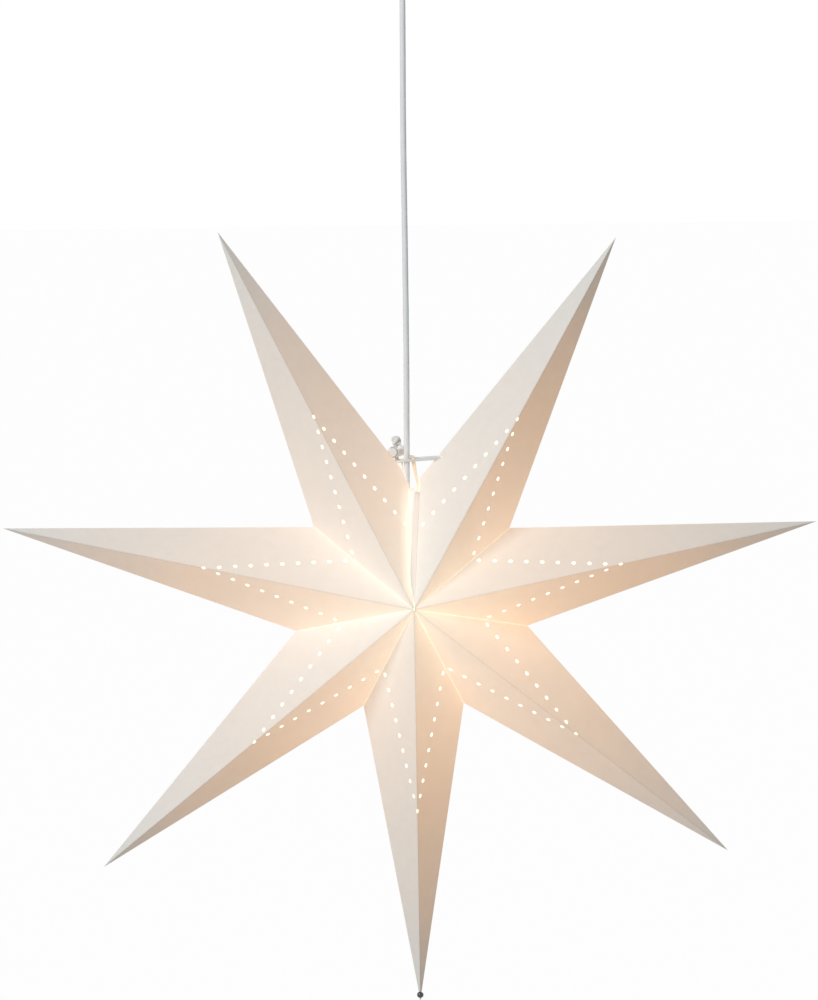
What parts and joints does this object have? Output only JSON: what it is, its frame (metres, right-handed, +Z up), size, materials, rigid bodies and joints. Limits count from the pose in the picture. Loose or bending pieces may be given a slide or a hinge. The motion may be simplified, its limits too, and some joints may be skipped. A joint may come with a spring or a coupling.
{
  "type": "moravian star pendant",
  "caption": "Folded paper star lantern hung on a cable from a round ceiling fitting, with punched rows of holes, a screw-in bulb inside and a cord lock at its open seam.",
  "frame": {"origin": "centre of the ceiling fitting's face on the ceiling, on the axis of the cable", "axes": "+Z up into the ceiling; the star faces -Y; +X to the right as seen from the front"},
  "size_m": [0.758, 0.1556, 1.005],
  "materials": {
    "star_paper": "matte white paper, lit from behind",
    "tab_card": "matte card",
    "cable_sheath": "smooth white sheath",
    "cord_cotton": "braided white cord",
    "lock_plastic": "satin white",
    "spring_steel": "bright wire",
    "bead_black": "glossy black",
    "pin_steel": "dull wire",
    "canopy_white": "moulded white, satin",
    "bracket_zinc": "zinc plated sheet",
    "screw_steel": "zinc plated",
    "fitting_white": "moulded white",
    "block_plastic": "moulded cream",
    "core_brown": "smooth insulation",
    "core_blue": "smooth insulation",
    "holder_white": "moulded white",
    "insert_ceramic": "cream glazed",
    "contact_brass": "spring brass",
    "sleeve_metal": "rolled thread",
    "lamp_cap_metal": "rolled thread",
    "lamp_insulator": "black glassy",
    "lamp_solder": "dull solder",
    "lamp_glass": "clear",
    "stem_glass": "clear",
    "filament_glow": "yellow coating, lit"
  },
  "bodies": {
    "ceiling_fitting": {"mounting_bracket": "bracket_zinc", "canopy": "canopy_white", "canopy_screws": "screw_steel", "outlet_collar": "fitting_white", "outlet_ring_nut": "fitting_white", "terminal_block": "block_plastic", "terminal_screws": "screw_steel", "block_screw": "screw_steel", "cable_tail": "cable_sheath", "supply_core_live": "core_brown", "supply_core_neutral": "core_blue"},
    "swivel": {"outlet_swivel": "fitting_white"},
    "cable_and_lampholder": {"pendant_cable": "cable_sheath", "holder_cap": "holder_white", "holder_body": "holder_white", "contact_insert": "insert_ceramic", "cable_grip": "fitting_white", "grip_screw": "screw_steel", "thread_sleeve": "sleeve_metal", "side_contact": "contact_brass", "centre_contact": "contact_brass", "holder_core_live": "core_brown", "holder_core_neutral": "core_blue"},
    "bulb": {"bulb_cap": "lamp_cap_metal", "bulb_insulator": "lamp_insulator", "bulb_contact": "lamp_solder", "bulb_glass": "lamp_glass", "led_stem": "stem_glass", "led_filaments": "filament_glow"},
    "star": {"spike_1": "star_paper", "spike_2": "star_paper", "spike_3": "star_paper", "spike_4": "star_paper", "spike_5": "star_paper", "spike_6": "star_paper", "spike_7": "star_paper", "seam_tab_left": "tab_card", "seam_tab_right": "tab_card", "drawcord_front": "cord_cotton", "drawcord_back": "cord_cotton", "drawcord_end_knot": "cord_cotton", "drawcord_anchor_knot": "cord_cotton", "lock_barrel": "lock_plastic", "lock_spring": "spring_steel", "tip_bead": "bead_black", "tip_pin": "pin_steel"},
    "lock_button": {"lock_button": "lock_plastic"}
  },
  "joints": [
    {"name": "swing_side", "type": "hinge", "parent": "ceiling_fitting", "child": "swivel", "pos_m": [0, 0, -0.0506], "axis": [0, 1, 0], "range_deg": [-12, 12]},
    {"name": "swing_front", "type": "hinge", "parent": "swivel", "child": "cable_and_lampholder", "pos_m": [0, 0, -0.0506], "axis": [1, 0, 0], "range_deg": [-12, 12]},
    {"name": "star_turn", "type": "hinge", "parent": "cable_and_lampholder", "child": "star", "pos_m": [0, 0, -0.5], "axis": [0, 0, 1], "continuous": true},
    {"name": "bulb_unscrew", "type": "slide", "parent": "cable_and_lampholder", "child": "bulb", "axis": [0, 0, -1], "range_m": [0, 0.025]},
    {"name": "button_press", "type": "slide", "parent": "star", "child": "lock_button", "axis": [0.4226, 0.9063, 0], "range_m": [0, 0.003], "stiffness_N_per_m": 400, "springref_m": -0.002, "deforming": ["lock_spring"]}
  ]
}
